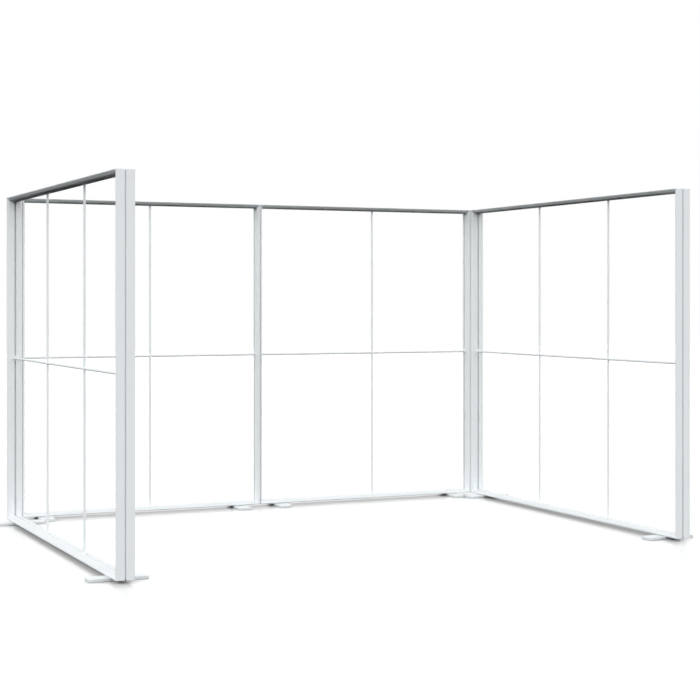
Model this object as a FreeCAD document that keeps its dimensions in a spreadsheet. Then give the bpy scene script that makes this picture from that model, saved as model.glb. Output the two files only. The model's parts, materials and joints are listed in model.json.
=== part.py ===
import FreeCAD, Part
import os
import Sketcher

# Lightbox display wall: four open frames of hollow profile that stand as a U on swivel feet

os.makedirs("parts", exist_ok=True)
doc = FreeCAD.newDocument("lightbox_display_wall")

# Driving sizes in millimetres
SIZES = {
    # Lengths of the frame members, measured at the frame's outside
    "post_end_length": 1000,
    "post_middle_length": 500,
    "rail_end_length": 1000,
    "rail_middle_length": 1000,
    "joint_gap": 0.8,
    # Profile section: flat outside, roof-shaped inside with a channel along the ridge
    "profile_depth": 122,
    "ridge_height": 30,
    "knee_inset": 17,
    "knee_height": 21,
    "wall_thickness": 2,
    "roof_thickness": 2.4,
    "channel_width": 14,
    "slot_opening": 9,
    "slot_width": 16,
    "slot_depth": 6,
    "fabric_slot_width": 3,
    "fabric_slot_depth": 14,
    "fabric_slot_wall": 1.5,
    # Pieces inside the profile
    "fit_clearance": 0.3,
    "splice_length": 120,
    "splice_width": 24,
    "splice_thickness": 8,
    "key_leg_length": 90,
    "board_width": 20,
    "board_thickness": 1,
    "board_corner_clearance": 45,
    "board_joint_clearance": 4,
    "driver_inset": 520,
    "driver_length": 250,
    "driver_width": 20,
    "driver_height": 12,
    "inlet_inset": 450,
    "inlet_diameter": 16,
    "inlet_bore": 8,
    "inlet_flange_diameter": 22,
    "inlet_flange_thickness": 1.2,
    # Bars across the frames
    "bar_diameter": 17,
    "bar_bore_width": 10.4,
    "bar_offset": 60,
    "hub_width": 18,
    "plug_length": 40,
    "spigot_length": 25,
    # Feet
    "foot_inset": 180,
    "foot_length": 390,
    "foot_width": 110,
    "foot_thickness": 18,
    "foot_corner_radius": 20,
    "foot_edge_chamfer": 1.5,
    "pad_length": 70,
    "pad_width": 20,
    "pad_thickness": 3.5,
    "pad_recess": 1.5,
    "pad_inset": 30,
    "washer_diameter": 40,
    "washer_thickness": 2,
    # Bolts and slot nuts
    "bolt_diameter": 8,
    "bolt_clearance": 0.05,
    "pivot_head_diameter": 20,
    "pivot_head_height": 5,
    "pivot_recess_diameter": 22,
    "pivot_recess_depth": 6,
    "nut_length": 30,
    "nut_thickness": 5.5,
    "bolt_head_diameter": 14,
    "bolt_head_height": 4.5,
    "hex_socket_width": 5,
    "hex_socket_depth": 3,
    # Connections between the frames
    "link_rise": 300,
    "coupler_height": 80,
    "bracket_leg_length": 95,
    "bracket_thickness": 5,
    "bracket_height": 60,
    # Cutting tools run past the solid by this much
    "overrun": 5,
}

sheet = doc.addObject("Spreadsheet::Sheet", "Sheet")
for row, (alias, value) in enumerate(SIZES.items(), start=1):
    sheet.set(f"A{row}", alias)
    sheet.set(f"B{row}", str(value))
    sheet.setAlias(f"B{row}", alias)
doc.recompute()


class Cells:
    """Gives the formula that reads a cell, as in size.bar_diameter."""

    def __getattr__(self, alias):
        return f"Sheet.{alias}"


size = Cells()

# Formulas that several pieces share
half_depth = f"({size.profile_depth} / 2)"
half_channel = f"({size.channel_width} / 2)"
half_slot = f"({size.slot_width} / 2)"
half_opening = f"({size.slot_opening} / 2)"
half_hub = f"({size.hub_width} / 2)"
half_gap = f"({size.joint_gap} / 2)"
lip_height = f"(2 * {size.fabric_slot_wall} + {size.fabric_slot_width})"
slot_floor = f"({size.wall_thickness} + {size.slot_depth})"
channel_floor = f"({slot_floor} + {size.wall_thickness})"
knee_across = f"({half_depth} - {size.knee_inset})"
frame_height = f"(2 * {size.post_end_length} + {size.post_middle_length})"
short_width = f"(2 * {size.rail_end_length})"
long_width = f"({short_width} + {size.rail_middle_length})"
back_width = f"(2 * {short_width})"
far_y = f"(({long_width} - {half_depth} - {size.foot_length} / 2) / 2)"
foot_bottom = f"({size.pad_thickness} - {size.pad_recess})"
rail_bottom = f"({foot_bottom} + {size.foot_thickness} + {size.washer_thickness})"
ORIGIN = ("0", "0", "0")

# Below this share a direction counts as square to an axis, and a cut as empty
tiny_share = 1e-6


def number(formula):
    """Value of a formula at the sizes in the sheet."""
    return float(sheet.evalExpression(formula))


def bind(item, prop, formula):
    """Tie a property to a formula, or leave it at zero."""
    if formula != "0":
        item.setExpression(prop, formula)


def place(item, base, rotation=FreeCAD.Rotation()):
    """Give an object a turn, and a base point tied to formulas."""
    item.Placement = FreeCAD.Placement(FreeCAD.Vector(), rotation)
    for axis, formula in zip("xyz", base):
        bind(item, f"Placement.Base.{axis}", formula)


# Indices by which a sketch calls its own axes, and the points of a line or circle
x_axis_index, y_axis_index = -1, -2
start_index, end_index, centre_index = 1, 2, 3


def tie_start(sketch, line, kind, formula, value, axis):
    """Fix one coordinate of a line's first point: on an axis, or at a distance from the sketch's origin."""
    if formula == "0":
        sketch.addConstraint(Sketcher.Constraint("PointOnObject", line, start_index, axis))
    else:
        distance = Sketcher.Constraint(kind, x_axis_index, start_index, line, start_index, value)
        rule = sketch.addConstraint(distance)
        sketch.setExpression(f"Constraints[{rule}]", formula)


def add_polygon(sketch, points):
    """Closed outline through points given as formulas, each tied to the sketch's origin."""
    corners = [FreeCAD.Vector(number(across), number(up), 0) for across, up in points]
    lines = []
    for start, end in zip(corners, corners[1:] + corners[:1]):
        lines.append(sketch.addGeometry(Part.LineSegment(start, end)))
    for line, following in zip(lines, lines[1:] + lines[:1]):
        sketch.addConstraint(Sketcher.Constraint("Coincident", line, end_index, following, start_index))
    for line, corner, (across, up) in zip(lines, corners, points):
        tie_start(sketch, line, "DistanceX", across, corner.x, y_axis_index)
        tie_start(sketch, line, "DistanceY", up, corner.y, x_axis_index)


def add_circle(sketch, diameter):
    """Circle about the sketch's origin."""
    circle = sketch.addGeometry(Part.Circle(FreeCAD.Vector(), FreeCAD.Vector(0, 0, 1), number(diameter) / 2))
    sketch.addConstraint(Sketcher.Constraint("Coincident", circle, centre_index, x_axis_index, start_index))
    rule = sketch.addConstraint(Sketcher.Constraint("Diameter", circle, number(diameter)))
    sketch.setExpression(f"Constraints[{rule}]", diameter)


def new_sketch(body, name, role, base=ORIGIN):
    """Sketch on one of the body's own origin planes, shifted along the plane's own axes by base."""
    sketch = body.newObject("Sketcher::SketchObject", name)
    plane = next(item for item in body.Origin.OriginFeatures if item.Role == role)
    sketch.AttachmentSupport = [(plane, "")]
    sketch.MapMode = "FlatFace"
    for axis, formula in zip("xyz", base):
        bind(sketch, f"AttachmentOffset.Base.{axis}", formula)
    return sketch


def add_pad(body, sketch, length):
    """Pad a sketch along its normal."""
    pad = body.newObject("PartDesign::Pad", f"{sketch.Name}_pad")
    pad.Profile = sketch
    pad.setExpression("Length", length)
    return pad


def add_pocket(body, sketch, depth=None, reverse=False):
    """Cut a sketch right through the body, or to a depth, and stop if that takes nothing away."""
    doc.recompute()
    whole = body.Shape.Volume
    pocket = body.newObject("PartDesign::Pocket", f"{sketch.Name}_cut")
    pocket.Profile = sketch
    if depth is None:
        pocket.Type = "ThroughAll"
        pocket.SideType = "Symmetric"
    else:
        pocket.setExpression("Length", depth)
        pocket.Reversed = reverse
    doc.recompute()
    if body.Shape.Volume > whole - whole * tiny_share:
        raise RuntimeError(f"{pocket.Name} cuts nothing")


def add_box(name, sizes, base):
    """Box whose sizes and corner are formulas."""
    box = doc.addObject("Part::Box", name)
    for prop, formula in zip(("Length", "Width", "Height"), sizes):
        box.setExpression(prop, formula)
    place(box, base)
    return box


def add_cylinder(name, diameter, length, base, direction=FreeCAD.Vector(0, 0, 1)):
    """Cylinder from a base point along a direction."""
    cylinder = doc.addObject("Part::Cylinder", name)
    cylinder.setExpression("Radius", f"{diameter} / 2")
    cylinder.setExpression("Height", length)
    place(cylinder, base, FreeCAD.Rotation(FreeCAD.Vector(0, 0, 1), direction))
    return cylinder


def fuse(name, shapes):
    """One solid from several that meet."""
    joined = doc.addObject("Part::MultiFuse", name)
    joined.Shapes = shapes
    joined.Refine = True
    return joined


def cut(name, base, tool):
    """A solid with a tool taken away."""
    result = doc.addObject("Part::Cut", name)
    result.Base = base
    result.Tool = tool
    return result


# Profile pieces are drawn in the section's own axes: X across the wall, Y from the flat outside inwards,
# Z along the member from the frame's corner.
ACROSS, INWARD, ALONG = (FreeCAD.Vector(1, 0, 0), FreeCAD.Vector(0, 1, 0), FreeCAD.Vector(0, 0, 1))


def roof_height(across):
    """Height of the sloping roof over the flat outside, at a distance from the middle."""
    return (f"({size.knee_height} + ({knee_across} - {across})"
            f" * ({size.ridge_height} - {size.knee_height}) / ({knee_across} - {half_channel}))")


def eave_height(across):
    """Height of the lower, steeper part of the roof, between the knee and the lip."""
    return (f"({size.knee_height} - ({across} - {knee_across})"
            f" * ({size.knee_height} - {lip_height}) / {size.knee_inset})")


def mirrored(points):
    """The points at the other side of the section, in the opposite order."""
    return [(f"-{across}", up) for across, up in reversed(points)]


def section_outline():
    """Outline of the section with its bar channel, T-slot and fabric slots."""
    slot_end = f"({half_depth} - {size.fabric_slot_depth})"
    slot_top = f"({size.fabric_slot_wall} + {size.fabric_slot_width})"
    side = [
        (half_opening, size.wall_thickness),
        (half_opening, "0"),
        (half_depth, "0"),
        (half_depth, size.fabric_slot_wall),
        (slot_end, size.fabric_slot_wall),
        (slot_end, slot_top),
        (half_depth, slot_top),
        (half_depth, lip_height),
        (knee_across, size.knee_height),
        (half_channel, size.ridge_height),
        (half_channel, channel_floor),
    ]
    slot = [(half_slot, slot_floor), (half_slot, size.wall_thickness)]
    return side + mirrored(side) + mirrored(slot) + slot


def chamber_outline():
    """Outline of the hollow chamber at one side of the section."""
    inner = f"({half_slot} + {size.wall_thickness})"
    outer = f"({half_depth} - {size.fabric_slot_depth} - {size.wall_thickness})"
    return [
        (inner, size.wall_thickness),
        (outer, size.wall_thickness),
        (outer, f"{eave_height(outer)} - {size.roof_thickness}"),
        (knee_across, f"{size.knee_height} - {size.roof_thickness}"),
        (inner, f"{roof_height(inner)} - {size.roof_thickness}"),
    ]


def profile_piece(name, length, mitred):
    """One length of profile, square at both ends or mitred at its start."""
    body = doc.addObject("PartDesign::Body", name)
    section = new_sketch(body, f"{name}_section", "XY_Plane")
    add_polygon(section, section_outline())
    add_polygon(section, chamber_outline())
    add_polygon(section, mirrored(chamber_outline()))
    add_pad(body, section, length)
    if mitred:
        mitre = new_sketch(body, f"{name}_mitre", "YZ_Plane")
        low = f"-{size.overrun}"
        high = f"({size.ridge_height} + {size.overrun})"
        add_polygon(mitre, [(low, low), (high, low), (high, high)])
        add_pocket(body, mitre)
    return body


def inlet_piece(name, length):
    """Mitred rail length with a hole for the supply lead in the flat outside, into one chamber."""
    body = profile_piece(name, length, True)
    hole = new_sketch(body, f"{name}_inlet", "XZ_Plane", (inlet_across, size.inlet_inset, "0"))
    add_circle(hole, size.inlet_diameter)
    add_pocket(body, hole, size.wall_thickness)
    return body


chamber_start = f"({half_slot} + {size.wall_thickness} + {size.fit_clearance})"
inlet_across = f"({chamber_start} + {size.splice_width} / 2)"
end_length = f"{size.rail_end_length} - {half_gap}"

post_end = profile_piece("post_end", f"{size.post_end_length} - {half_gap}", True)
post_middle = profile_piece("post_middle", f"{size.post_middle_length} - {size.joint_gap}", False)
rail_end = profile_piece("rail_end", end_length, True)
rail_middle = profile_piece("rail_middle", f"{size.rail_middle_length} - {size.joint_gap}", False)
inlet_end = inlet_piece("inlet_end", end_length)

# Splice in one chamber, half in each of the two lengths that it joins
splice = add_box(
    "splice",
    (size.splice_width, size.splice_thickness, size.splice_length),
    (chamber_start, size.wall_thickness, f"-{size.splice_length} / 2"),
)

# Angle key in one chamber, with a leg in the rail and a leg in the post
key_rail_leg = add_box(
    "key_rail_leg",
    (size.splice_width, size.splice_thickness, f"{size.key_leg_length} - {size.wall_thickness}"),
    (chamber_start, size.wall_thickness, size.wall_thickness),
)
key_post_leg = add_box(
    "key_post_leg",
    (size.splice_width, f"{size.key_leg_length} - {size.wall_thickness}", size.splice_thickness),
    (chamber_start, size.wall_thickness, size.wall_thickness),
)
angle_key = fuse("angle_key", [key_rail_leg, key_post_leg])


def led_board(name, length):
    """LED board that lies on the upper slope of the roof, from the corner clearance or a joint onwards."""
    run = f"({knee_across} - {half_channel})"
    rise = f"({size.ridge_height} - {size.knee_height})"
    slope = f"sqrt({run} ^ 2 + {rise} ^ 2)"
    margin = f"(({slope} - {size.board_width}) / 2)"
    low = (
        f"({knee_across} - {run} * {margin} / {slope})",
        f"({size.knee_height} + {rise} * {margin} / {slope})",
    )
    along = (f"({run} * {size.board_width} / {slope})", f"({rise} * {size.board_width} / {slope})")
    off = (f"({rise} * {size.board_thickness} / {slope})", f"({run} * {size.board_thickness} / {slope})")
    high = (f"({low[0]} - {along[0]})", f"({low[1]} + {along[1]})")
    body = doc.addObject("PartDesign::Body", name)
    section = new_sketch(body, f"{name}_section", "XY_Plane")
    add_polygon(section, [
        low,
        (f"({low[0]} + {off[0]})", f"({low[1]} + {off[1]})"),
        (f"({high[0]} + {off[0]})", f"({high[1]} + {off[1]})"),
        high,
    ])
    add_pad(body, section, length)
    return body


end_clearances = f"({size.board_corner_clearance} + {size.board_joint_clearance})"
middle_clearances = f"(2 * {size.board_joint_clearance})"
post_end_board = led_board("post_end_board", f"{size.post_end_length} - {end_clearances}")
rail_end_board = led_board("rail_end_board", f"{size.rail_end_length} - {end_clearances}")
post_middle_board = led_board("post_middle_board", f"{size.post_middle_length} - {middle_clearances}")
rail_middle_board = led_board("rail_middle_board", f"{size.rail_middle_length} - {middle_clearances}")

# LED driver on the floor of a rail's chamber
driver = add_box(
    "driver",
    (size.driver_width, size.driver_height, size.driver_length),
    (chamber_start, size.wall_thickness, size.driver_inset),
)

# Grommet of the supply lead: a bush in the rail's outer wall with a flange below it
grommet_bush = add_cylinder(
    "grommet_bush", f"({size.inlet_diameter} - 2 * {size.fit_clearance})", size.wall_thickness,
    (inlet_across, "0", size.inlet_inset), INWARD,
)
grommet_flange = add_cylinder(
    "grommet_flange", size.inlet_flange_diameter, size.inlet_flange_thickness,
    (inlet_across, f"-{size.inlet_flange_thickness}", size.inlet_inset), INWARD,
)
grommet_length = f"({size.wall_thickness} + {size.inlet_flange_thickness})"
grommet_bore = add_cylinder(
    "grommet_bore", size.inlet_bore, f"{grommet_length} + 2 * {size.overrun}",
    (inlet_across, f"-{size.inlet_flange_thickness} - {size.overrun}", size.inlet_inset), INWARD,
)
grommet = cut("grommet", fuse("grommet_blank", [grommet_bush, grommet_flange]), grommet_bore)

# Plug that fills the bar channel up to the ridge and holds a bar's end on a spigot
spigot_width = f"({size.bar_bore_width} - 2 * {size.fit_clearance})"
plug_width = f"({size.channel_width} - 2 * {size.fit_clearance})"
plug_base = add_box(
    "plug_base",
    (plug_width, f"{size.ridge_height} - {channel_floor}", size.plug_length),
    (f"-{plug_width} / 2", channel_floor, f"-{size.plug_length} / 2"),
)
plug_spigot = add_box(
    "plug_spigot",
    (spigot_width, size.spigot_length, spigot_width),
    (f"-{spigot_width} / 2", size.ridge_height, f"-{spigot_width} / 2"),
)
bar_plug = fuse("bar_plug", [plug_base, plug_spigot])

# Hub where an upright bar meets the cross bars: a cube with a spigot into each of the four tubes
hub_span = f"({size.hub_width} + 2 * {size.spigot_length})"
hub_cube = add_box(
    "hub_cube", (size.hub_width,) * 3, (f"-{half_hub}",) * 3,
)
hub_level = add_box(
    "hub_level", (hub_span, spigot_width, spigot_width),
    (f"-{hub_span} / 2", f"-{spigot_width} / 2", f"-{spigot_width} / 2"),
)
hub_upright = add_box(
    "hub_upright", (spigot_width, spigot_width, hub_span),
    (f"-{spigot_width} / 2", f"-{spigot_width} / 2", f"-{hub_span} / 2"),
)
bar_hub = fuse("bar_hub", [hub_cube, hub_level, hub_upright])


def square(half):
    """Corners of a square about the origin."""
    return [(f"-{half}", f"-{half}"), (half, f"-{half}"), (half, half), (f"-{half}", half)]


def bar_tube(name, length):
    """Round tube along Z with a square bore, so that it can't turn on its spigots."""
    body = doc.addObject("PartDesign::Body", name)
    section = new_sketch(body, f"{name}_section", "XY_Plane")
    add_circle(section, size.bar_diameter)
    add_polygon(section, square(f"({size.bar_bore_width} / 2)"))
    add_pad(body, section, length)
    return body


# The bars stand a little past the rail joints, so the first cross bar is longer than the last
bar_ends = f"({half_hub} + {size.ridge_height})"
upright_tube = bar_tube("upright_tube", f"{frame_height} / 2 - {bar_ends}")
first_tube = bar_tube("first_tube", f"{size.rail_end_length} + {size.bar_offset} - {bar_ends}")
middle_tube = bar_tube("middle_tube", f"{size.rail_middle_length} - {size.hub_width}")
last_tube = bar_tube("last_tube", f"{size.rail_end_length} - {size.bar_offset} - {bar_ends}")


def hex_socket(name, base):
    """Six-sided cutting tool for the hex key's socket, from a base point inwards."""
    socket = doc.addObject("Part::Prism", name)
    socket.setExpression("Circumradius", f"{size.hex_socket_width} / sqrt(3)")
    socket.setExpression("Height", f"{size.hex_socket_depth} + {size.overrun}")
    place(socket, base, FreeCAD.Rotation(ALONG, INWARD))
    return socket


def bolt(name, head_diameter, head_height, grip):
    """Bolt that goes inwards through a thickness outside the profile and ends in a slot nut."""
    head_base = ("0", f"-{grip} - {head_height}", "0")
    head = add_cylinder(f"{name}_head", head_diameter, head_height, head_base, INWARD)
    shank = add_cylinder(
        f"{name}_shank", size.bolt_diameter, f"{grip} + {size.wall_thickness} + {size.nut_thickness}",
        ("0", f"-{grip}", "0"), INWARD,
    )
    socket = hex_socket(f"{name}_socket", ("0", f"-{grip} - {head_height} - {size.overrun}", "0"))
    return cut(name, fuse(f"{name}_blank", [head, shank]), socket)


bolt_hole = f"({size.bolt_diameter} + 2 * {size.bolt_clearance})"
pivot_grip = f"({size.washer_thickness} + {size.foot_thickness} - {size.pivot_recess_depth})"
pivot_bolt = bolt("pivot_bolt", size.pivot_head_diameter, size.pivot_head_height, pivot_grip)
bracket_bolt = bolt("bracket_bolt", size.bolt_head_diameter, size.bolt_head_height, size.bracket_thickness)

# Slot nut that lies behind the lips of the T-slot
nut_width = f"({size.slot_width} - 2 * {size.fit_clearance})"
nut_block = add_box(
    "nut_block", (nut_width, size.nut_thickness, size.nut_length),
    (f"-{nut_width} / 2", size.wall_thickness, f"-{size.nut_length} / 2"),
)
nut_bore = add_cylinder(
    "nut_bore", bolt_hole, f"{size.nut_thickness} + 2 * {size.overrun}",
    ("0", f"{size.wall_thickness} - {size.overrun}", "0"), INWARD,
)
slot_nut = cut("slot_nut", nut_block, nut_bore)

# Friction washer between a foot and the rail
washer_blank = add_cylinder(
    "washer_blank", size.washer_diameter, size.washer_thickness,
    ("0", f"-{size.washer_thickness}", "0"), INWARD,
)
washer_bore = add_cylinder(
    "washer_bore", bolt_hole, f"{size.washer_thickness} + 2 * {size.overrun}",
    ("0", f"-{size.washer_thickness} - {size.overrun}", "0"), INWARD,
)
foot_washer = cut("foot_washer", washer_blank, washer_bore)


def edges_along(shape, direction):
    """Names of a straight-edged shape's edges that run along a direction."""
    names = []
    for index, edge in enumerate(shape.Edges, start=1):
        run = edge.Vertexes[-1].Point - edge.Vertexes[0].Point
        if run.cross(direction).Length < edge.Length * tiny_share:
            names.append(f"Edge{index}")
    return names


def top_face(shape):
    """Name of the flat face that lies highest."""
    heights = [face.CenterOfMass.z for face in shape.Faces]
    return f"Face{heights.index(max(heights)) + 1}"


half_foot = f"({size.foot_length} / 2)"
pad_end = f"({half_foot} - {size.pad_inset})"
pad_start = f"({pad_end} - {size.pad_width})"


def pad_outline(sign):
    """Outline of the rubber pad near one end of a foot."""
    half_pad = f"({size.pad_length} / 2)"
    ends = (f"{sign}{pad_start}", f"{sign}{pad_end}")
    return [(f"-{half_pad}", ends[0]), (half_pad, ends[0]), (half_pad, ends[1]), (f"-{half_pad}", ends[1])]


def foot_body():
    """Foot plate on its underside, with a recessed bolt hole and two recesses for its pads."""
    body = doc.addObject("PartDesign::Body", "foot")
    plate = new_sketch(body, "foot_plate", "XY_Plane")
    half_width = f"({size.foot_width} / 2)"
    add_polygon(plate, [
        (f"-{half_width}", f"-{half_foot}"), (half_width, f"-{half_foot}"),
        (half_width, half_foot), (f"-{half_width}", half_foot),
    ])
    blank = add_pad(body, plate, size.foot_thickness)
    doc.recompute()
    rounding = body.newObject("PartDesign::Fillet", "foot_corners")
    rounding.Base = (blank, edges_along(blank.Shape, ALONG))
    rounding.setExpression("Radius", size.foot_corner_radius)
    doc.recompute()
    edge = body.newObject("PartDesign::Chamfer", "foot_edge")
    edge.Base = (rounding, [top_face(rounding.Shape)])
    edge.setExpression("Size", size.foot_edge_chamfer)
    doc.recompute()
    hole = new_sketch(body, "foot_hole", "XY_Plane")
    add_circle(hole, bolt_hole)
    add_pocket(body, hole)
    recess = new_sketch(body, "foot_recess", "XY_Plane")
    add_circle(recess, size.pivot_recess_diameter)
    add_pocket(body, recess, size.pivot_recess_depth, reverse=True)
    for name, sign in (("front", "-"), ("back", "")):
        seat = new_sketch(body, f"foot_{name}_seat", "XY_Plane")
        add_polygon(seat, pad_outline(sign))
        add_pocket(body, seat, size.pad_recess, reverse=True)
    return body


def pad_body(name, sign):
    """Rubber pad, seated in its recess and standing proud below the foot."""
    body = doc.addObject("PartDesign::Body", name)
    outline = new_sketch(body, f"{name}_outline", "XY_Plane", ("0", "0", f"-{foot_bottom}"))
    add_polygon(outline, pad_outline(sign))
    add_pad(body, outline, size.pad_thickness)
    return body


foot = foot_body()
front_pad = pad_body("front_pad", "-")
back_pad = pad_body("back_pad", "")

# Double-T coupler in the facing T-slots of two posts that stand end to end
coupler_web = f"({size.slot_opening} - 2 * {size.fit_clearance})"
coupler_head = f"({size.slot_width} - 2 * {size.fit_clearance})"
coupler_parts = []
for name, width, reach, start in (
    ("web", coupler_web, f"2 * {size.wall_thickness}", f"-{size.wall_thickness}"),
    ("left_head", coupler_head, size.nut_thickness, f"-{size.wall_thickness} - {size.nut_thickness}"),
    ("right_head", coupler_head, size.nut_thickness, size.wall_thickness),
):
    coupler_parts.append(add_box(
        f"coupler_{name}", (reach, width, size.coupler_height),
        (start, f"-{width} / 2", f"-{size.coupler_height} / 2"),
    ))
coupler = fuse("coupler", coupler_parts)

# Angle bracket of the left corner: one leg on the side frame's end, one on the back frame's end
bracket_side = add_box(
    "bracket_side", (size.bracket_leg_length, size.bracket_thickness, size.bracket_height),
    (f"-{size.bracket_leg_length}", "0", f"-{size.bracket_height} / 2"),
)
bracket_back = add_box(
    "bracket_back", (size.bracket_thickness, size.bracket_leg_length, size.bracket_height),
    (f"-{size.bracket_thickness}", "0", f"-{size.bracket_height} / 2"),
)
side_bore = add_cylinder(
    "bracket_side_bore", bolt_hole, f"{size.bracket_thickness} + 2 * {size.overrun}",
    (f"-{half_depth}", f"-{size.overrun}", "0"), INWARD,
)
back_bore = add_cylinder(
    "bracket_back_bore", bolt_hole, f"{size.bracket_thickness} + 2 * {size.overrun}",
    (size.overrun, half_depth, "0"), -ACROSS,
)
bracket_blank = fuse("bracket_blank", [bracket_side, bracket_back])
bracket = cut("bracket", cut("bracket_bored", bracket_blank, side_bore), back_bore)


class Frame:
    """One open frame: X along its width from its start, Y through its depth, Z up from its bottom rail."""

    def __init__(self, name, long, turn, base, ends):
        self.name = name
        self.long = long
        self.rotation = FreeCAD.Rotation(FreeCAD.Vector(0, 0, 1), turn)
        self.base = base
        self.ends = ends
        self.width = long_width if long else short_width
        self.joints = [size.rail_end_length]
        if long:
            self.joints.append(f"({size.rail_end_length} + {size.rail_middle_length})")
        self.bars = [f"({joint} + {size.bar_offset})" for joint in self.joints]
        self.count = 0

    def put(self, source, base, inward=INWARD, along=ALONG):
        """Copy of a piece with its section axes turned to the given directions."""
        self.count += 1
        copy = doc.addObject("App::Link", f"{self.name}_copy_{self.count}")
        copy.LinkedObject = source
        copy.LinkTransform = True
        place(copy, base, FreeCAD.Rotation(inward.cross(along), inward, along, "ZXY"))
        return copy

    def group(self, label, copies):
        """The copies as one object, at the frame's place in the stand."""
        group = doc.addObject("Part::Compound", label)
        group.Label = label
        group.Links = copies
        place(group, self.base, self.rotation)
        return group

    def corner(self, at_end, at_top):
        """Outer corner of the frame."""
        return (self.width if at_end else "0", "0", frame_height if at_top else "0")


RIGHT, BACK, UP = (FreeCAD.Vector(1, 0, 0), FreeCAD.Vector(0, 1, 0), FreeCAD.Vector(0, 0, 1))


def moved(base, direction, distance):
    """Base point shifted by a distance along an axis direction."""
    point = []
    for formula, step in zip(base, direction):
        sign = "+" if step > 0 else "-"
        point.append(f"{formula} {sign} {distance}" if abs(step) > tiny_share else formula)
    return tuple(point)


def add_rail(frame, at_top):
    """Top or bottom rail: two mitred ends and, in a long frame, a middle length."""
    inward = -UP if at_top else UP
    start = frame.corner(False, at_top)
    first = rail_end if at_top else inlet_end
    copies = [frame.put(first, start, inward, RIGHT)]
    if frame.long:
        joint = moved(start, RIGHT, f"({size.rail_end_length} + {half_gap})")
        copies.append(frame.put(rail_middle, joint, inward, RIGHT))
    copies.append(frame.put(rail_end, frame.corner(True, at_top), inward, -RIGHT))
    level = "top" if at_top else "bottom"
    return frame.group(f"{frame.name}_{level}_rail", copies)


def add_post(frame, at_end):
    """Post at the frame's start or end: two mitred ends and a middle length."""
    inward = -RIGHT if at_end else RIGHT
    foot_corner = frame.corner(at_end, False)
    copies = [
        frame.put(post_end, foot_corner, inward, UP),
        frame.put(post_middle, moved(foot_corner, UP, f"({size.post_end_length} + {half_gap})"), inward, UP),
        frame.put(post_end, frame.corner(at_end, True), inward, -UP),
    ]
    return frame.group(f"{frame.name}_{frame.ends[at_end]}_post", copies)


def add_upright_bars(frame):
    """Upright bars, each in two tubes that meet at a hub."""
    copies = []
    for bar in frame.bars:
        copies.append(frame.put(upright_tube, (bar, "0", size.ridge_height), BACK, UP))
        copies.append(frame.put(upright_tube, (bar, "0", f"{frame_height} / 2 + {half_hub}"), BACK, UP))
    return frame.group(f"{frame.name}_upright_bars", copies)


def add_cross_bars(frame):
    """Cross bars at half height, cut at each upright bar."""
    level = f"{frame_height} / 2"
    copies = [frame.put(first_tube, (size.ridge_height, "0", level), BACK, RIGHT)]
    if frame.long:
        copies.append(frame.put(middle_tube, (f"{frame.bars[0]} + {half_hub}", "0", level), BACK, RIGHT))
    copies.append(frame.put(last_tube, (f"{frame.bars[-1]} + {half_hub}", "0", level), BACK, RIGHT))
    return frame.group(f"{frame.name}_cross_bars", copies)


def put_hubs(frame):
    """Hubs at the crossings of the bars."""
    return [frame.put(bar_hub, (bar, "0", f"{frame_height} / 2")) for bar in frame.bars]


def put_plugs(frame):
    """Plugs at both ends of every bar."""
    copies = []
    for bar in frame.bars:
        copies.append(frame.put(bar_plug, (bar, "0", "0"), UP, RIGHT))
        copies.append(frame.put(bar_plug, (bar, "0", frame_height), -UP, RIGHT))
    copies.append(frame.put(bar_plug, ("0", "0", f"{frame_height} / 2"), RIGHT, UP))
    copies.append(frame.put(bar_plug, (frame.width, "0", f"{frame_height} / 2"), -RIGHT, UP))
    return copies


def put_both_sides(frame, source, base, inward, along):
    """A piece in both chambers: the second copy is turned about the inward direction."""
    return [frame.put(source, base, inward, along), frame.put(source, base, inward, -along)]


def put_splices(frame):
    """Splices at every joint of two lengths."""
    copies = []
    for joint in frame.joints:
        copies += put_both_sides(frame, splice, (joint, "0", "0"), UP, RIGHT)
        copies += put_both_sides(frame, splice, (joint, "0", frame_height), -UP, RIGHT)
    for at_end, inward in ((False, RIGHT), (True, -RIGHT)):
        for at_top, along in ((False, UP), (True, -UP)):
            joint = moved(frame.corner(at_end, at_top), along, size.post_end_length)
            copies += put_both_sides(frame, splice, joint, inward, along)
    return copies


def put_keys(frame):
    """Angle keys at the four mitred corners: drawn from the rail, and again from the post."""
    copies = []
    for at_end, along in ((False, RIGHT), (True, -RIGHT)):
        for at_top, inward in ((False, UP), (True, -UP)):
            corner = frame.corner(at_end, at_top)
            copies.append(frame.put(angle_key, corner, inward, along))
            copies.append(frame.put(angle_key, corner, along, inward))
    return copies


def put_boards(frame, source, start, inward, along, near_end, far_end):
    """Boards on both slopes of one length of profile: the second is turned end for end."""
    near = moved(start, along, near_end)
    far = moved(start, along, far_end)
    return [frame.put(source, near, inward, along), frame.put(source, far, inward, -along)]


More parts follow.
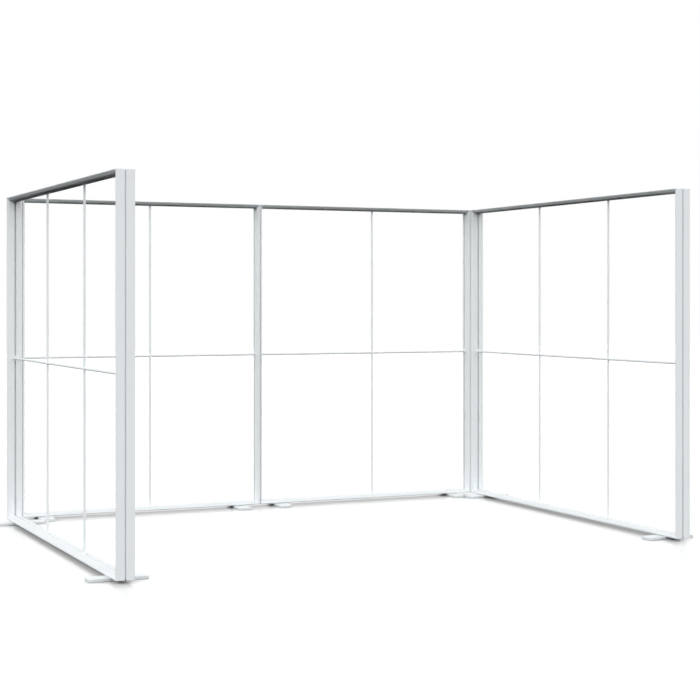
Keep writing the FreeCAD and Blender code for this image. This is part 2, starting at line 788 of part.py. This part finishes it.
def add_boards(frame):
    """LED boards on the sloping faces all round a frame."""
    copies = []
    corner_end, joint_end = size.board_corner_clearance, size.board_joint_clearance
    rail_end_far = f"({size.rail_end_length} - {joint_end})"
    post_end_far = f"({size.post_end_length} - {joint_end})"
    rail_middle_far = f"({size.rail_middle_length} - {joint_end})"
    post_middle_far = f"({size.post_middle_length} - {joint_end})"
    for at_end, along in ((False, RIGHT), (True, -RIGHT)):
        for at_top, inward in ((False, UP), (True, -UP)):
            corner = frame.corner(at_end, at_top)
            copies += put_boards(frame, rail_end_board, corner, inward, along, corner_end, rail_end_far)
            copies += put_boards(frame, post_end_board, corner, along, inward, corner_end, post_end_far)
        middle = moved(frame.corner(at_end, False), UP, size.post_end_length)
        copies += put_boards(frame, post_middle_board, middle, along, UP, joint_end, post_middle_far)
    if frame.long:
        for at_top, inward in ((False, UP), (True, -UP)):
            middle = moved(frame.corner(False, at_top), RIGHT, size.rail_end_length)
            copies += put_boards(frame, rail_middle_board, middle, inward, RIGHT, joint_end, rail_middle_far)
    return frame.group(f"{frame.name}_led_boards", copies)


def foot_places(frame):
    """Where the two feet pivot, along the frame."""
    return (size.foot_inset, f"({frame.width} - {size.foot_inset})")


def add_feet(frame):
    """Feet and their pads, each foot an object of its own because it turns."""
    objects = []
    underside = f"-{size.washer_thickness} - {size.foot_thickness}"
    for at_end, pivot in enumerate(foot_places(frame)):
        name = f"{frame.name}_{frame.ends[at_end]}_foot"
        seat = (pivot, "0", underside)
        objects.append(frame.group(name, [frame.put(foot, seat)]))
        objects.append(frame.group(f"{name}_pads", [frame.put(front_pad, seat), frame.put(back_pad, seat)]))
    return objects


def put_at_feet(frame, source):
    """A piece of the profile's bottom at each foot."""
    return [frame.put(source, (pivot, "0", "0"), UP, RIGHT) for pivot in foot_places(frame)]


def put_at_links(frame, source, at_end):
    """A piece in a post's outer face at each height where frames are joined."""
    inward = -RIGHT if at_end else RIGHT
    edge = frame.width if at_end else "0"
    return [frame.put(source, (edge, "0", height), inward, UP) for height in link_heights]


link_heights = (size.link_rise, f"{frame_height} / 2", f"{frame_height} - {size.link_rise}")
side_x = f"({back_width} / 2 + {half_depth})"
back_y = f"({far_y} + {half_depth})"
SIDE_TURN = -90
FRAMES = [
    Frame("left", True, SIDE_TURN, (f"-{side_x}", far_y, rail_bottom), ("far", "near")),
    Frame("back_left", False, 0, (f"-{back_width} / 2", back_y, rail_bottom), ("outer", "inner")),
    Frame("back_right", False, 0, ("0", back_y, rail_bottom), ("inner", "outer")),
    Frame("right", True, SIDE_TURN, (side_x, far_y, rail_bottom), ("far", "near")),
]
LEFT, BACK_LEFT, BACK_RIGHT, RIGHT_SIDE = FRAMES

nodes = []
for frame in FRAMES:
    nodes += [add_rail(frame, True), add_rail(frame, False), add_post(frame, False), add_post(frame, True)]
    nodes += [add_upright_bars(frame), add_cross_bars(frame), add_boards(frame)]
    nodes += add_feet(frame)


def add_shared(label, pieces):
    """One object for a kind of piece that all frames have; pieces gives a frame's copies."""
    groups = []
    for frame in FRAMES:
        copies = pieces(frame)
        if copies:
            groups.append(frame.group(f"{frame.name}_{label}", copies))
    shared = doc.addObject("Part::Compound", label)
    shared.Label = label
    shared.Links = groups
    return shared


def put_at_brackets(frame, source):
    """A piece in the post that a corner bracket holds, which is the end post in the right back frame only."""
    return put_at_links(frame, source, frame is BACK_RIGHT)


def put_brackets(frame):
    """Angle brackets outside a side frame's far end, turned to the side where the back frame stands."""
    if frame is LEFT:
        return [frame.put(bracket, ("0", half_depth, height), -RIGHT, UP) for height in link_heights]
    if frame is RIGHT_SIDE:
        return [frame.put(bracket, ("0", f"-{half_depth}", height), BACK, UP) for height in link_heights]
    return []


def put_couplers(frame):
    """Couplers where the right back frame meets the left one."""
    if frame is BACK_RIGHT:
        return [frame.put(coupler, ("0", "0", height), BACK, UP) for height in link_heights]
    return []


nodes += [
    add_shared("bar_hubs", put_hubs),
    add_shared("bar_end_plugs", put_plugs),
    add_shared("segment_splices", put_splices),
    add_shared("corner_keys", put_keys),
    add_shared("led_drivers", lambda frame: [frame.put(driver, ORIGIN, UP, RIGHT)]),
    add_shared("cable_grommets", lambda frame: [frame.put(grommet, ORIGIN, UP, RIGHT)]),
    add_shared("foot_pivot_bolts", lambda frame: put_at_feet(frame, pivot_bolt)),
    add_shared("foot_washers", lambda frame: put_at_feet(frame, foot_washer)),
    add_shared("foot_slot_nuts", lambda frame: put_at_feet(frame, slot_nut)),
    add_shared("bracket_slot_nuts", lambda frame: put_at_brackets(frame, slot_nut)),
    add_shared("bracket_bolts", lambda frame: put_at_brackets(frame, bracket_bolt)),
    add_shared("corner_brackets", put_brackets),
    add_shared("frame_couplers", put_couplers),
]

# Check every object, then write each piece
doc.recompute()
for item in doc.Objects:
    if {"Invalid", "Error"} & set(item.State):
        raise RuntimeError(f"{item.Label} did not build: {item.State}")
for node in nodes:
    if node.Shape.isNull() or not node.Shape.isValid():
        raise RuntimeError(f"{node.Label} has no valid shape")
for node in nodes:
    node.Shape.exportStep(f"parts/{node.Label}.step")
print(len(nodes), "pieces written")
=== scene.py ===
import json
import math

import bmesh
import bpy
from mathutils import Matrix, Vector


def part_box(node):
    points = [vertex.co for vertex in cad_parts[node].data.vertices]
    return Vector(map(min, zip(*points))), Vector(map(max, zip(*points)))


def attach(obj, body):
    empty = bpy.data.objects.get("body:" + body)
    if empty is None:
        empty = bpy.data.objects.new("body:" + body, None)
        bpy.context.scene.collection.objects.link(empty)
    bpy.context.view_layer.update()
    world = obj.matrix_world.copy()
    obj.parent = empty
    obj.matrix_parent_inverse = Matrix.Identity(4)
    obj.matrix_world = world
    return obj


# Lightbox display wall: materials, diode lenses, floor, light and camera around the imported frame
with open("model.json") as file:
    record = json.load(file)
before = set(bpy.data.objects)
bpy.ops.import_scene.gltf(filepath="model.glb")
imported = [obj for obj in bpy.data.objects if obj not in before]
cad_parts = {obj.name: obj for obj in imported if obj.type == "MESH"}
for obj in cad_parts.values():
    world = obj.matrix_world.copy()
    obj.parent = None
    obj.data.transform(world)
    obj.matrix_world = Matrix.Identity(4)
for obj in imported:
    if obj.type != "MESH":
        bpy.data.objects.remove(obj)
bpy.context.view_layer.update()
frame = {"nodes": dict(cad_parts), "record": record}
scene = bpy.context.scene
scene.view_settings.view_transform = "Standard"

# Colours, linear
coat_light = (0.80, 0.83, 0.845, 1)
coat_dark = (0.76, 0.795, 0.815, 1)
moulded_light = (0.82, 0.83, 0.83, 1)
moulded_dark = (0.77, 0.78, 0.78, 1)
mask_light = (0.82, 0.84, 0.845, 1)
mask_dark = (0.755, 0.78, 0.785, 1)
acetal_light = (0.72, 0.72, 0.69, 1)
acetal_dark = (0.64, 0.64, 0.60, 1)
rubber_light = (0.030, 0.030, 0.032, 1)
rubber_dark = (0.012, 0.012, 0.013, 1)
black_light = (0.022, 0.022, 0.023, 1)
black_dark = (0.010, 0.010, 0.011, 1)
zinc_light = (0.66, 0.68, 0.70, 1)
zinc_dark = (0.48, 0.50, 0.53, 1)
mill_light = (0.78, 0.79, 0.80, 1)
mill_dark = (0.62, 0.63, 0.65, 1)
lens_light = (0.82, 0.84, 0.845, 1)
lens_dark = (0.76, 0.78, 0.785, 1)
white = (1, 1, 1, 1)

# Spacing and height of the surface grain, in metres
peel_spacing = 0.0012
peel_height = 0.00006
cloud_spacing = 0.35
fine_grain = 0.0007
coarse_grain = 0.0012
shallow_height = 0.00003
deep_height = 0.0001
stain_spacing = 0.02
line_spacing = 0.0008
line_height = 0.00002
tarnish_spacing = 0.012
diode_spacing = 0.004

# Finer levels in the noise, how far it is drawn out along each axis, and how far roughness swings with it
soft_detail = 2.0
grain_detail = 3.0
cloud_detail = 4.0
even_stretch = (1, 1, 1)
drawn_stretch = (1, 1, 12)
coat_swing = 0.06
moulded_swing = 0.08
metal_swing = 0.1
lens_swing = 0.05

# Gloss: none on the coat, the boards and the lenses, whose undersides would mirror the floor
matt_gloss = 0.0
moulded_gloss = 0.3


class Finish:
    """A new material with a Principled shader, whose colour, roughness and relief come from noise."""

    def __init__(self, name):
        self.material = bpy.data.materials.new(name)
        self.material.use_nodes = True
        self.tree = self.material.node_tree
        self.shader = self.tree.nodes["Principled BSDF"]
        self.place = self.tree.nodes.new("ShaderNodeTexCoord").outputs["Object"]

    def set(self, socket, value):
        """Give the shader a value that is the same all over."""
        self.shader.inputs[socket].default_value = value

    def noise(self, spacing, detail=soft_detail, stretch=even_stretch):
        """Noise with lumps this many metres apart, drawn out along an axis where stretch is over one."""
        mapping = self.tree.nodes.new("ShaderNodeMapping")
        mapping.inputs["Scale"].default_value = [1 / share for share in stretch]
        self.tree.links.new(self.place, mapping.inputs["Vector"])
        noise = self.tree.nodes.new("ShaderNodeTexNoise")
        noise.inputs["Scale"].default_value = 1 / spacing
        noise.inputs["Detail"].default_value = detail
        self.tree.links.new(mapping.outputs["Vector"], noise.inputs["Vector"])
        return noise.outputs["Fac"]

    def tint(self, source, dark, light):
        """Base colour between two colours."""
        mix = self.tree.nodes.new("ShaderNodeMix")
        mix.data_type = "RGBA"
        colours = [socket for socket in mix.inputs if socket.type == "RGBA"]
        colours[0].default_value = dark
        colours[1].default_value = light
        self.tree.links.new(source, mix.inputs["Factor"])
        result = next(socket for socket in mix.outputs if socket.type == "RGBA")
        self.tree.links.new(result, self.shader.inputs["Base Color"])

    def roughen(self, source, roughness, swing):
        """Roughness that swings to both sides of a middle value."""
        spread = self.tree.nodes.new("ShaderNodeMapRange")
        spread.inputs["To Min"].default_value = roughness - swing
        spread.inputs["To Max"].default_value = roughness + swing
        self.tree.links.new(source, spread.inputs["Value"])
        self.tree.links.new(spread.outputs["Result"], self.shader.inputs["Roughness"])

    def relief(self, source, height):
        """Bump as high as this, in metres."""
        bump = self.tree.nodes.new("ShaderNodeBump")
        bump.inputs["Distance"].default_value = height
        self.tree.links.new(source, bump.inputs["Height"])
        self.tree.links.new(bump.outputs["Normal"], self.shader.inputs["Normal"])


def powder_coat(name, roughness):
    """Satin white powder coat: orange peel about a millimetre apart, and a faint cloudiness."""
    finish = Finish(name)
    peel = finish.noise(peel_spacing)
    finish.tint(finish.noise(cloud_spacing, cloud_detail), coat_dark, coat_light)
    finish.roughen(peel, roughness, coat_swing)
    finish.relief(peel, peel_height)
    finish.set("Specular IOR Level", matt_gloss)
    return finish.material


def moulded(name, dark, light, roughness, grain, height, gloss=moulded_gloss):
    """Moulded plastic or rubber with a fine grain."""
    finish = Finish(name)
    texture = finish.noise(grain, grain_detail)
    finish.tint(finish.noise(stain_spacing, cloud_detail), dark, light)
    finish.roughen(texture, roughness, moulded_swing)
    finish.relief(texture, height)
    finish.set("Specular IOR Level", gloss)
    return finish.material


def bare_metal(name, dark, light, roughness, stretch=even_stretch):
    """Bare metal, tarnished in patches, with a fine grain that a stretch draws out into lines."""
    finish = Finish(name)
    lines = finish.noise(line_spacing, grain_detail, stretch)
    finish.set("Metallic", 1.0)
    finish.tint(finish.noise(tarnish_spacing, cloud_detail), dark, light)
    finish.roughen(lines, roughness, metal_swing)
    finish.relief(lines, line_height)
    return finish.material


def lens_plastic(name, roughness):
    """Smooth lens plastic, as white as the board that shows through it."""
    finish = Finish(name)
    clouds = finish.noise(diode_spacing)
    finish.tint(clouds, lens_dark, lens_light)
    finish.roughen(clouds, roughness, lens_swing)
    finish.set("Specular IOR Level", matt_gloss)
    return finish.material


materials = {
    "frame_white": powder_coat("frame_white", roughness=0.52),
    "bar_white": powder_coat("bar_white", roughness=0.46),
    "foot_white": powder_coat("foot_white", roughness=0.56),
    "hub_white": moulded(
        "hub_white", moulded_dark, moulded_light, roughness=0.45, grain=fine_grain, height=shallow_height,
    ),
    "board_white": moulded(
        "board_white", mask_dark, mask_light, roughness=0.5, grain=coarse_grain, height=shallow_height,
        gloss=matt_gloss,
    ),
    "washer_white": moulded(
        "washer_white", acetal_dark, acetal_light, roughness=0.4, grain=coarse_grain, height=shallow_height,
    ),
    "pad_rubber": moulded(
        "pad_rubber", rubber_dark, rubber_light, roughness=0.8, grain=coarse_grain, height=deep_height,
    ),
    "grommet_rubber": moulded(
        "grommet_rubber", rubber_dark, rubber_light, roughness=0.7, grain=fine_grain, height=deep_height,
    ),
    "driver_black": moulded(
        "driver_black", black_dark, black_light, roughness=0.55, grain=fine_grain, height=deep_height,
    ),
    "bolt_steel": bare_metal("bolt_steel", zinc_dark, zinc_light, roughness=0.34),
    "inner_aluminium": bare_metal(
        "inner_aluminium", mill_dark, mill_light, roughness=0.4, stretch=drawn_stretch,
    ),
}
for part in frame["record"]["subparts"]:
    node = frame["nodes"][part["node"]]
    node.data.materials.clear()
    node.data.materials.append(materials[part["material_slot"]])

# Lenses over the diodes, in a row along the middle of every LED board
lens_pitch = 0.0625
lens_end_gap = 0.030
lens_flange_radius = 0.0045
lens_flange_height = 0.0008
lens_radius = 0.0036
lens_height = 0.0018
lens_sides = 10
lens_rings = 3
merge_distance = 1e-6


def loose_parts(mesh):
    """Lists of the faces of each separate solid in a joined mesh, always in the same order."""
    taken = set()
    for first in mesh.faces:
        if first in taken:
            continue
        taken.add(first)
        found = [first]
        for face in found:
            for edge in face.edges:
                near = [other for other in edge.link_faces if other not in taken]
                taken.update(near)
                found += near
        yield found


def lit_face(faces, centre):
    """Middle of a board's lit face, the way that face looks, and half the board's length as a vector."""
    corners = [vert.co for face in faces for vert in face.verts]
    low = Vector([min(corner[axis] for corner in corners) for axis in range(3)])
    high = Vector([max(corner[axis] for corner in corners) for axis in range(3)])
    middle = (low + high) / 2
    normal = max(faces, key=lambda face: face.calc_area()).normal.copy()
    if normal.dot(centre - middle) < 0:
        normal.negate()
    half_thickness = max(normal.dot(corner - middle) for corner in corners)
    longest = max(range(3), key=lambda axis: high[axis] - low[axis])
    half_run = Vector()
    half_run[longest] = (high[longest] - low[longest]) / 2
    return middle + normal * half_thickness, normal, half_run


def add_lens(mesh, base, normal):
    """One lens: a flange on the board and a dome on the flange."""
    turn = normal.to_track_quat("Z", "Y").to_matrix()
    levels = [(lens_flange_radius, 0), (lens_flange_radius, lens_flange_height)]
    for ring in range(lens_rings):
        rise = math.pi / 2 * ring / lens_rings
        levels.append((lens_radius * math.cos(rise), lens_flange_height + lens_height * math.sin(rise)))
    rings = []
    for radius, height in levels:
        angles = [2 * math.pi * side / lens_sides for side in range(lens_sides)]
        points = [Vector((radius * math.cos(angle), radius * math.sin(angle), height)) for angle in angles]
        rings.append([mesh.verts.new(base + turn @ point) for point in points])
    top = mesh.verts.new(base + normal * (lens_flange_height + lens_height))
    for side in range(lens_sides):
        after = (side + 1) % lens_sides
        for lower, upper in zip(rings, rings[1:]):
            mesh.faces.new((lower[side], lower[after], upper[after], upper[side]))
        mesh.faces.new((rings[-1][side], rings[-1][after], top))


def add_lenses(name, boards, material):
    """The lenses of all the boards in one frame, as one piece."""
    joined = bmesh.new()
    joined.from_mesh(boards.data)
    bmesh.ops.remove_doubles(joined, verts=joined.verts, dist=merge_distance)
    centre = sum(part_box(boards.name), Vector()) / 2
    lenses = bmesh.new()
    for faces in loose_parts(joined):
        middle, normal, half_run = lit_face(faces, centre)
        count = 1 + int(2 * (half_run.length - lens_end_gap) / lens_pitch)
        for number in range(count):
            offset = (number - (count - 1) / 2) * lens_pitch
            add_lens(lenses, middle + half_run.normalized() * offset, normal)
    joined.free()
    for face in lenses.faces:
        face.smooth = True
    mesh = bpy.data.meshes.new(name)
    lenses.to_mesh(mesh)
    lenses.free()
    mesh.materials.append(material)
    piece = bpy.data.objects.new(name, mesh)
    scene.collection.objects.link(piece)
    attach(piece, "stand")


lens_material = lens_plastic("lens_clear", roughness=0.25)
for side in ("left", "back_left", "back_right", "right"):
    add_lenses(f"{side}_led_lenses", frame["nodes"][f"{side}_led_boards"], lens_material)

# Floor: white and a little glossy where it is seen, nearly black in the light that it throws upwards
floor_half = 40
floor_white = (0.97, 0.97, 0.97, 1)
floor_bounce = (0.005, 0.005, 0.005, 1)
floor_roughness = 0.2


def seen_factor(tree):
    """One for rays that show a thing: from the camera, or in a reflection or through glass."""
    path = tree.nodes.new("ShaderNodeLightPath")
    total = path.outputs["Is Camera Ray"]
    for name in ("Is Glossy Ray", "Is Transmission Ray"):
        either = tree.nodes.new("ShaderNodeMath")
        either.operation = "MAXIMUM"
        tree.links.new(total, either.inputs[0])
        tree.links.new(path.outputs[name], either.inputs[1])
        total = either.outputs["Value"]
    return total


def mix_shaders(tree, factor, first, second, target):
    """Show the second shader where the factor is one, else the first."""
    mix = tree.nodes.new("ShaderNodeMixShader")
    tree.links.new(factor, mix.inputs["Fac"])
    tree.links.new(first, mix.inputs[1])
    tree.links.new(second, mix.inputs[2])
    tree.links.new(mix.outputs["Shader"], target)


floor_material = bpy.data.materials.new("floor")
floor_material.use_nodes = True
floor_tree = floor_material.node_tree
floor_seen = floor_tree.nodes["Principled BSDF"]
floor_seen.inputs["Base Color"].default_value = floor_white
floor_seen.inputs["Roughness"].default_value = floor_roughness
floor_lit = floor_tree.nodes.new("ShaderNodeBsdfDiffuse")
floor_lit.inputs["Color"].default_value = floor_bounce
mix_shaders(
    floor_tree, seen_factor(floor_tree), floor_lit.outputs["BSDF"], floor_seen.outputs["BSDF"],
    floor_tree.nodes["Material Output"].inputs["Surface"],
)
floor_mesh = bpy.data.meshes.new("floor")
floor_corners = [(-1, -1), (1, -1), (1, 1), (-1, 1)]
floor_face = range(len(floor_corners))
floor_mesh.from_pydata([(floor_half * x, floor_half * y, 0) for x, y in floor_corners], [], [floor_face])
floor_mesh.materials.append(floor_material)
floor = bpy.data.objects.new("floor", floor_mesh)
scene.collection.objects.link(floor)

# World: white where it is seen; as light, a soft bright band between two heights, and dark elsewhere
band_strength = 4.45
band_bottom = math.sin(math.radians(10))
band_top = math.sin(math.radians(38))
bottom_fade = 0.03
top_fade = 0.05


def ramp(tree, source, start, end, top=1.0):
    """A smooth step from zero at the start value to the top at the end value."""
    step = tree.nodes.new("ShaderNodeMapRange")
    step.interpolation_type = "SMOOTHSTEP"
    step.inputs["From Min"].default_value = start
    step.inputs["From Max"].default_value = end
    step.inputs["To Max"].default_value = top
    tree.links.new(source, step.inputs["Value"])
    return step.outputs["Result"]


world = bpy.data.worlds.new("studio")
world.use_nodes = True
world_tree = world.node_tree
world_seen = world_tree.nodes["Background"]
world_seen.inputs["Color"].default_value = white
world_lit = world_tree.nodes.new("ShaderNodeBackground")
axes = world_tree.nodes.new("ShaderNodeSeparateXYZ")
world_tree.links.new(world_tree.nodes.new("ShaderNodeTexCoord").outputs["Generated"], axes.inputs["Vector"])
upward = axes.outputs["Z"]
light_level = world_tree.nodes.new("ShaderNodeMath")
light_level.operation = "MULTIPLY"
band_rise = ramp(world_tree, upward, band_bottom - bottom_fade, band_bottom + bottom_fade, band_strength)
band_fall = ramp(world_tree, upward, band_top + top_fade, band_top - top_fade)
world_tree.links.new(band_rise, light_level.inputs[0])
world_tree.links.new(band_fall, light_level.inputs[1])
world_tree.links.new(light_level.outputs["Value"], world_lit.inputs["Strength"])
mix_shaders(
    world_tree, seen_factor(world_tree), world_lit.outputs["Background"], world_seen.outputs["Background"],
    world_tree.nodes["World Output"].inputs["Surface"],
)
scene.world = world

# Camera: level, at eye height, left of the open front, with the view shifted down and to the right
camera_place = (-4.829, -10.8915, 1.7237)
camera_turn = math.radians(-24.337)
camera_lens = 81.13
camera_sensor = 36
camera_shift_x = 0.0160
camera_shift_y = -0.0709
camera_data = bpy.data.cameras.new("camera")
camera_data.lens = camera_lens
camera_data.sensor_width = camera_sensor
camera_data.shift_x = camera_shift_x
camera_data.shift_y = camera_shift_y
camera = bpy.data.objects.new("camera", camera_data)
camera.location = camera_place
camera.rotation_euler = (math.pi / 2, 0, camera_turn)
scene.collection.objects.link(camera)
scene.camera = camera
